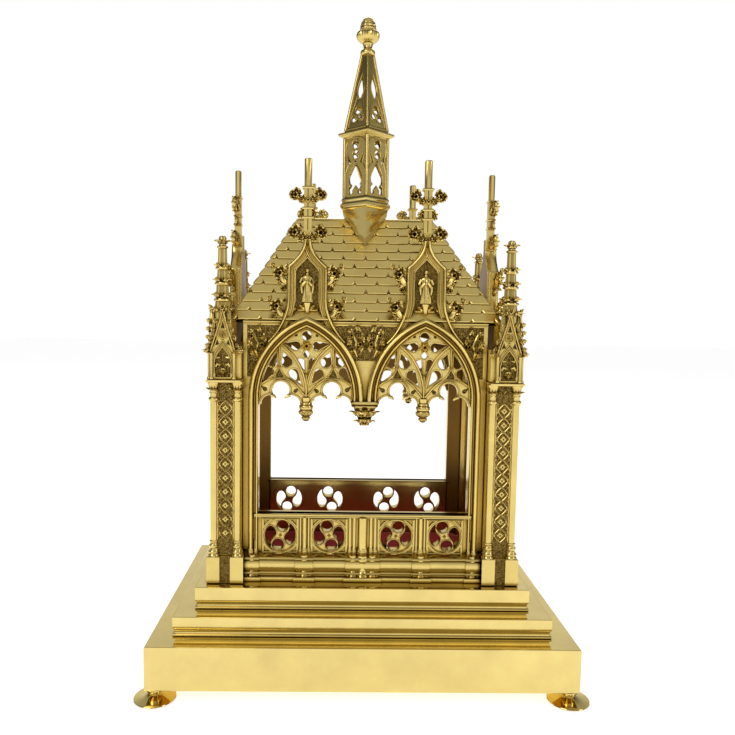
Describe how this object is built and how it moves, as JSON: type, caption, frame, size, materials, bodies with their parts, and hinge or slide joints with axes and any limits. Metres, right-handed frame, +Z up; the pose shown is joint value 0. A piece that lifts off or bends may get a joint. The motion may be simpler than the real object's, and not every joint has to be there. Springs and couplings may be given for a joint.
{
  "type": "reliquary",
  "caption": "Brass church reliquary like a small Gothic chapel: open chamber in pierced tracery, gables with niche figures, shingled roof, corner pinnacles, openwork flèche, stepped base.",
  "frame": {"origin": "on the ground under the middle of the four feet", "axes": "+X to the right of someone facing the long front, +Y to the back, +Z up"},
  "size_m": [0.3804, 0.2704, 0.5955],
  "materials": {
    "brass": "polished, with darker recesses",
    "velvet": "short pile velvet"
  },
  "bodies": {
    "root": {"foot_front_left": "brass", "foot_front_right": "brass", "foot_back_right": "brass", "foot_back_left": "brass", "buttress_front_left": "brass", "buttress_front_right": "brass", "buttress_back_right": "brass", "buttress_back_left": "brass", "base_slab": "brass", "lower_step": "brass", "upper_step": "brass", "arcade_front": "brass", "arcade_right": "brass", "arcade_back": "brass", "arcade_left": "brass", "roof": "brass", "fleche_socket": "brass", "fleche_lantern": "brass", "fleche_spire": "brass", "fleche_acorn": "brass", "velvet_floor": "velvet"}
  },
  "joints": []
}
